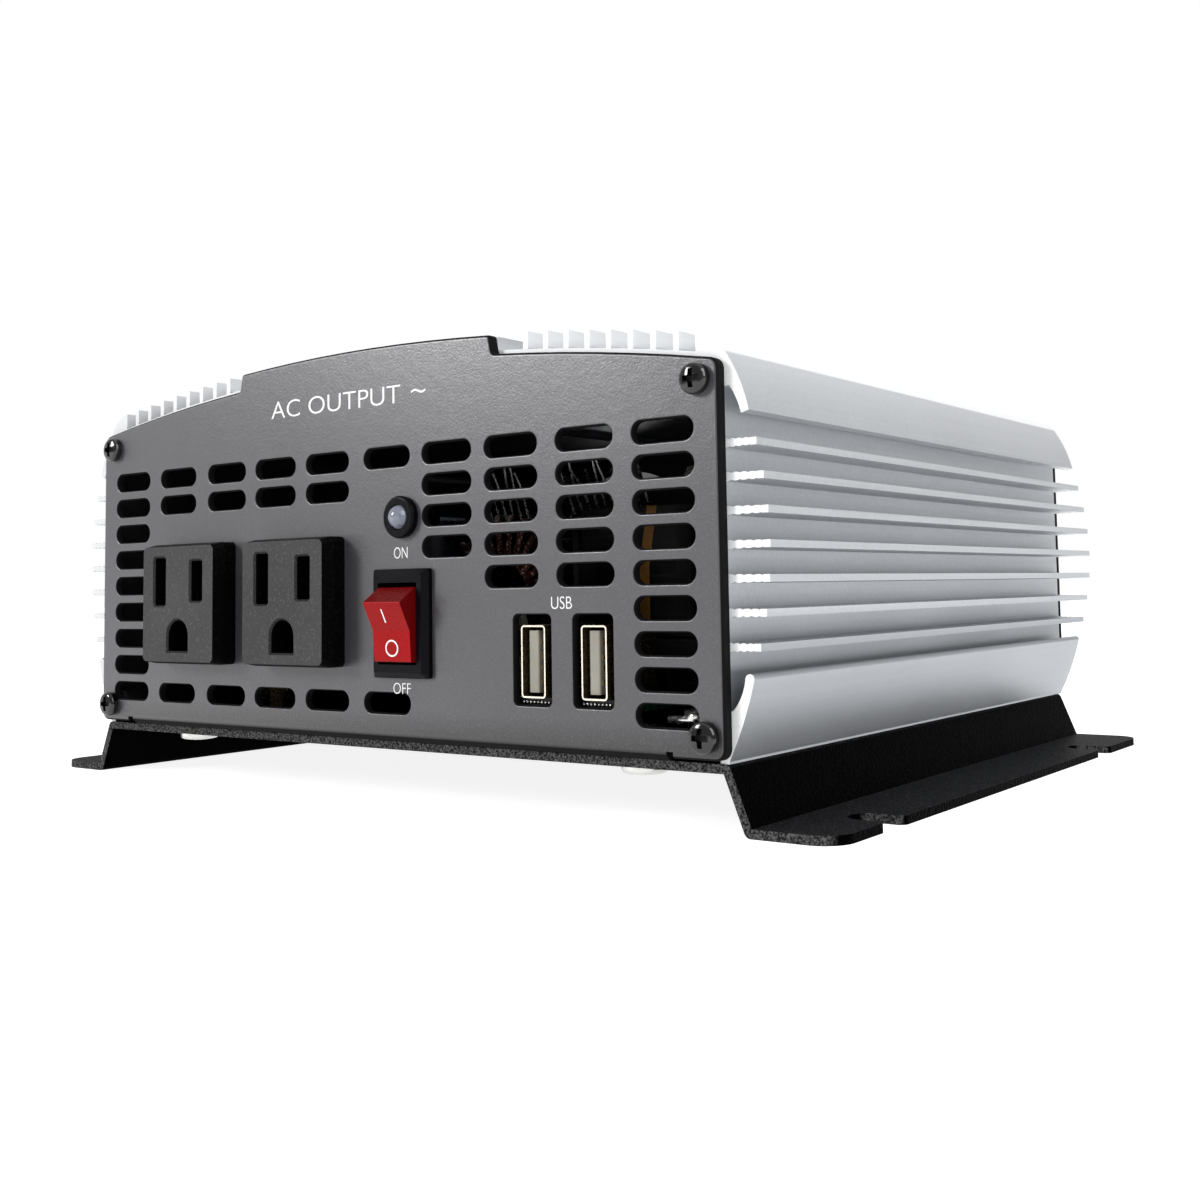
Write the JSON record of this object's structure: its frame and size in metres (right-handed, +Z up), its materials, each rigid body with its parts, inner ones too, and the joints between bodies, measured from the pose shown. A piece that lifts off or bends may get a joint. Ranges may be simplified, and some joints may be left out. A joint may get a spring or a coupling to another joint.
{
  "type": "power inverter",
  "caption": "Vehicle power inverter in a finned aluminium case with mains outlets, USB charging ports, a rocker switch, a cooling fan and battery terminals.",
  "frame": {"origin": "on the floor under the middle of the whole inverter: the underside of the feet is Z = 0", "axes": "+X to the right as seen from the outlet end, +Y from the outlet end to the battery end, +Z up"},
  "size_m": [0.2106, 0.1943, 0.0895],
  "materials": {
    "housing_aluminium": "extruded and anodised, fine lengthwise lines",
    "panel_paint": "satin dark grey powder coat",
    "plate_powder": "coarse black powder coat",
    "zinc_steel": "bright zinc plate",
    "black_screw": "glossy black oxide",
    "switch_plastic": "moulded black",
    "rocker_red": "moulded red",
    "terminal_brass": "bright",
    "lens_clear": "clear domed lens",
    "board_green": "solder-masked fibreglass board",
    "component_black": "moulded epoxy",
    "core_ferrite": "ground ferrite",
    "copper_wire": "enamelled copper",
    "winding_tape": "amber polyester tape",
    "capacitor_sleeve": "shrink sleeve",
    "fuse_plastic": "translucent moulding",
    "fan_plastic": "moulded black",
    "guard_chrome": "plated wire",
    "cable_rubber": "flexible sheath",
    "wire_insulation": "flexible insulation",
    "outlet_plastic": "spark-textured dark grey",
    "usb_steel": "nickel plate",
    "usb_insert": "moulded white",
    "contact_gold": "gold flash",
    "terminal_red": "moulded red",
    "terminal_black": "moulded black"
  },
  "bodies": {
    "case": {"base_nuts": "zinc_steel", "base_plate": "plate_powder", "base_screws": "zinc_steel", "battery_cables": "cable_rubber", "blade_fuses": "fuse_plastic", "board_screws": "zinc_steel", "board_standoffs": "terminal_brass", "choke_core": "core_ferrite", "choke_winding": "copper_wire", "earth_fasteners": "terminal_brass", "fan_frame": "fan_plastic", "fan_guard": "guard_chrome", "fan_nuts": "zinc_steel", "fan_screws": "black_screw", "front_panel": "panel_paint", "front_panel_screws": "black_screw", "heat_spreaders": "housing_aluminium", "housing_extrusion": "housing_aluminium", "input_capacitors": "capacitor_sleeve", "lamp_holder": "switch_plastic", "lamp_lens": "lens_clear", "main_board": "board_green", "outlet_body_left": "outlet_plastic", "outlet_body_right": "outlet_plastic", "outlet_contacts_left": "terminal_brass", "outlet_contacts_right": "terminal_brass", "outlet_wires": "wire_insulation", "rear_panel": "panel_paint", "rear_panel_screws": "black_screw", "storage_capacitors": "capacitor_sleeve", "switch_body": "switch_plastic", "switch_terminals": "terminal_brass", "switch_wires": "wire_insulation", "terminal_base_negative": "terminal_black", "terminal_base_positive": "terminal_red", "terminal_hardware_negative": "zinc_steel", "terminal_hardware_positive": "zinc_steel", "terminal_stud_negative": "terminal_brass", "terminal_stud_positive": "terminal_brass", "transformer_bobbin_front": "component_black", "transformer_bobbin_rear": "component_black", "transformer_core_front": "core_ferrite", "transformer_core_rear": "core_ferrite", "transformer_winding_front": "winding_tape", "transformer_winding_rear": "winding_tape", "transistor_clamps": "zinc_steel", "transistors_left": "component_black", "transistors_right": "component_black", "usb_board": "board_green", "usb_board_parts": "component_black", "usb_contacts_left": "contact_gold", "usb_contacts_right": "contact_gold", "usb_shell_left": "usb_steel", "usb_shell_right": "usb_steel", "usb_tongue_left": "usb_insert", "usb_tongue_right": "usb_insert"},
    "rocker": {"switch_rocker": "rocker_red"},
    "fan": {"fan_rotor": "fan_plastic"},
    "positive_knob": {"terminal_knob_positive": "terminal_red"},
    "negative_knob": {"terminal_knob_negative": "terminal_black"}
  },
  "joints": [
    {"name": "rocker_tilt", "type": "hinge", "parent": "case", "child": "rocker", "pos_m": [0.0134, -0.08986, 0.03455], "axis": [-1, 0, 0], "range_deg": [0, 30]},
    {"name": "fan_spin", "type": "hinge", "parent": "case", "child": "fan", "pos_m": [-0.038, 0.06395, 0.0472], "axis": [0, 1, 0], "continuous": true},
    {"name": "positive_knob_turn", "type": "hinge", "parent": "case", "child": "positive_knob", "pos_m": [0.028, 0.08894, 0.05], "axis": [0, 1, 0], "continuous": true},
    {"name": "negative_knob_turn", "type": "hinge", "parent": "case", "child": "negative_knob", "pos_m": [0.062, 0.08894, 0.05], "axis": [0, 1, 0], "continuous": true}
  ]
}
